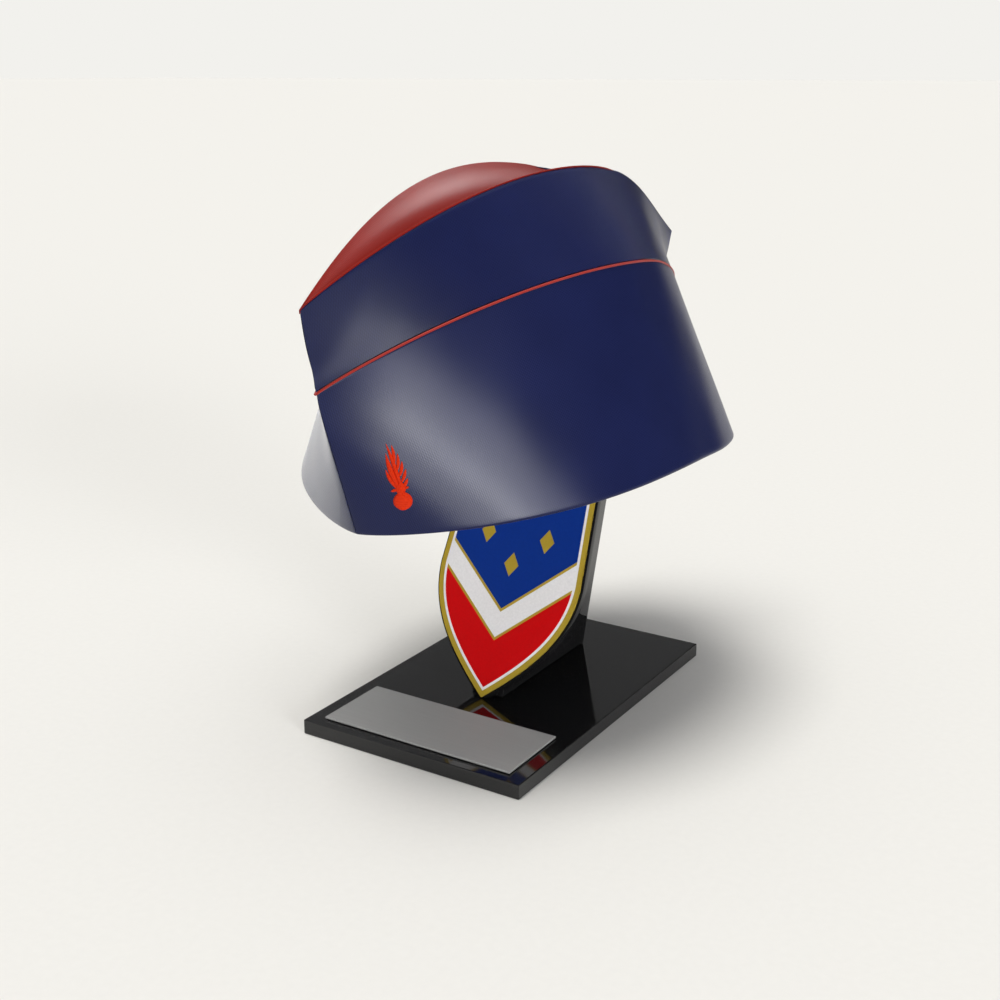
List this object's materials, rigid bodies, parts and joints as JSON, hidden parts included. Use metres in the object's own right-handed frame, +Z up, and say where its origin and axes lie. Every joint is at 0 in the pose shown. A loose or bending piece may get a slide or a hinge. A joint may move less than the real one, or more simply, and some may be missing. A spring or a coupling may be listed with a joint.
{
  "type": "side cap on display stand",
  "caption": "Cloth side cap with a turned-up band, sunk crown, piping and a flame badge, held up by a leaning shield-shaped upright on a flat base with a bare plate.",
  "frame": {"origin": "centre of the base plate's underside, where the stand rests", "axes": "+Z up, -Y towards the cap's front and the name plate, +X towards the wearer's left"},
  "size_m": [0.1542, 0.2685, 0.2173],
  "materials": {
    "black_acrylic": "polished",
    "satin_metal": "satin brushed",
    "printed_face": "printed in blue, white, red and gold",
    "navy_cloth": "fine woven wool",
    "red_cloth": "fine woven wool",
    "red_piping": "covered cord",
    "badge_thread": "satin embroidery"
  },
  "bodies": {
    "root": {"base_plate": "black_acrylic", "name_plate": "satin_metal", "shield_plate": "black_acrylic", "shield_face": "printed_face", "cap_post": "black_acrylic", "side_panel_left": "navy_cloth", "side_panel_right": "navy_cloth", "turn_up_left": "navy_cloth", "turn_up_right": "navy_cloth", "piping_left": "red_piping", "piping_right": "red_piping", "crown_top": "red_cloth", "flame_badge": "badge_thread"}
  },
  "joints": []
}
